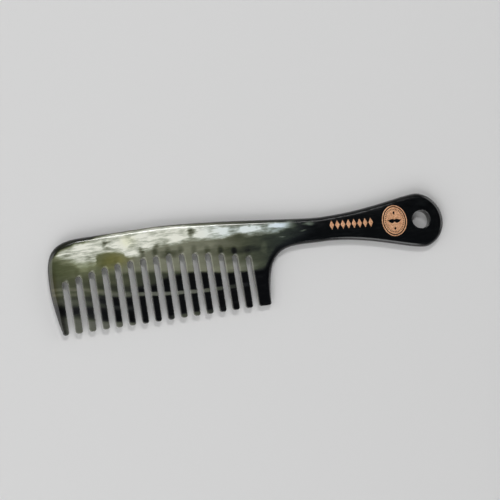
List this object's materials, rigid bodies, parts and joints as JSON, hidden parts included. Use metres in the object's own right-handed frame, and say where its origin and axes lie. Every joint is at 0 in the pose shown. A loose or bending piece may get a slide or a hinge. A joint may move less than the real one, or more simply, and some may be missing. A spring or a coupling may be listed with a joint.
{
  "type": "beard comb",
  "caption": "Flat polished horn comb with wide rounded teeth and a long waisted handle that ends in a round hanging hole.",
  "frame": {"origin": "middle of the footprint, on the surface that the comb lies on", "axes": "+X points to the end of the handle, +Y to the spine (the teeth point along -Y), +Z out of the face with the foil ornament"},
  "size_m": [0.19, 0.0434, 0.0046],
  "materials": {
    "marbled_horn": "polished",
    "dark_horn": "polished",
    "copper_foil": "satin"
  },
  "bodies": {
    "root": {"head_plate": "marbled_horn", "handle": "dark_horn", "guard_tooth_front": "marbled_horn", "guard_tooth_back": "marbled_horn", "tooth_01": "marbled_horn", "tooth_02": "marbled_horn", "tooth_03": "marbled_horn", "tooth_04": "marbled_horn", "tooth_05": "marbled_horn", "tooth_06": "marbled_horn", "tooth_07": "marbled_horn", "tooth_08": "marbled_horn", "tooth_09": "marbled_horn", "tooth_10": "marbled_horn", "tooth_11": "marbled_horn", "tooth_12": "marbled_horn", "tooth_13": "marbled_horn", "tooth_14": "marbled_horn", "foil_ring": "copper_foil", "foil_disc": "copper_foil", "foil_lozenge_1": "copper_foil", "foil_lozenge_2": "copper_foil", "foil_lozenge_3": "copper_foil", "foil_lozenge_4": "copper_foil", "foil_lozenge_5": "copper_foil", "foil_lozenge_6": "copper_foil", "foil_lozenge_7": "copper_foil", "foil_lozenge_8": "copper_foil"}
  },
  "joints": []
}
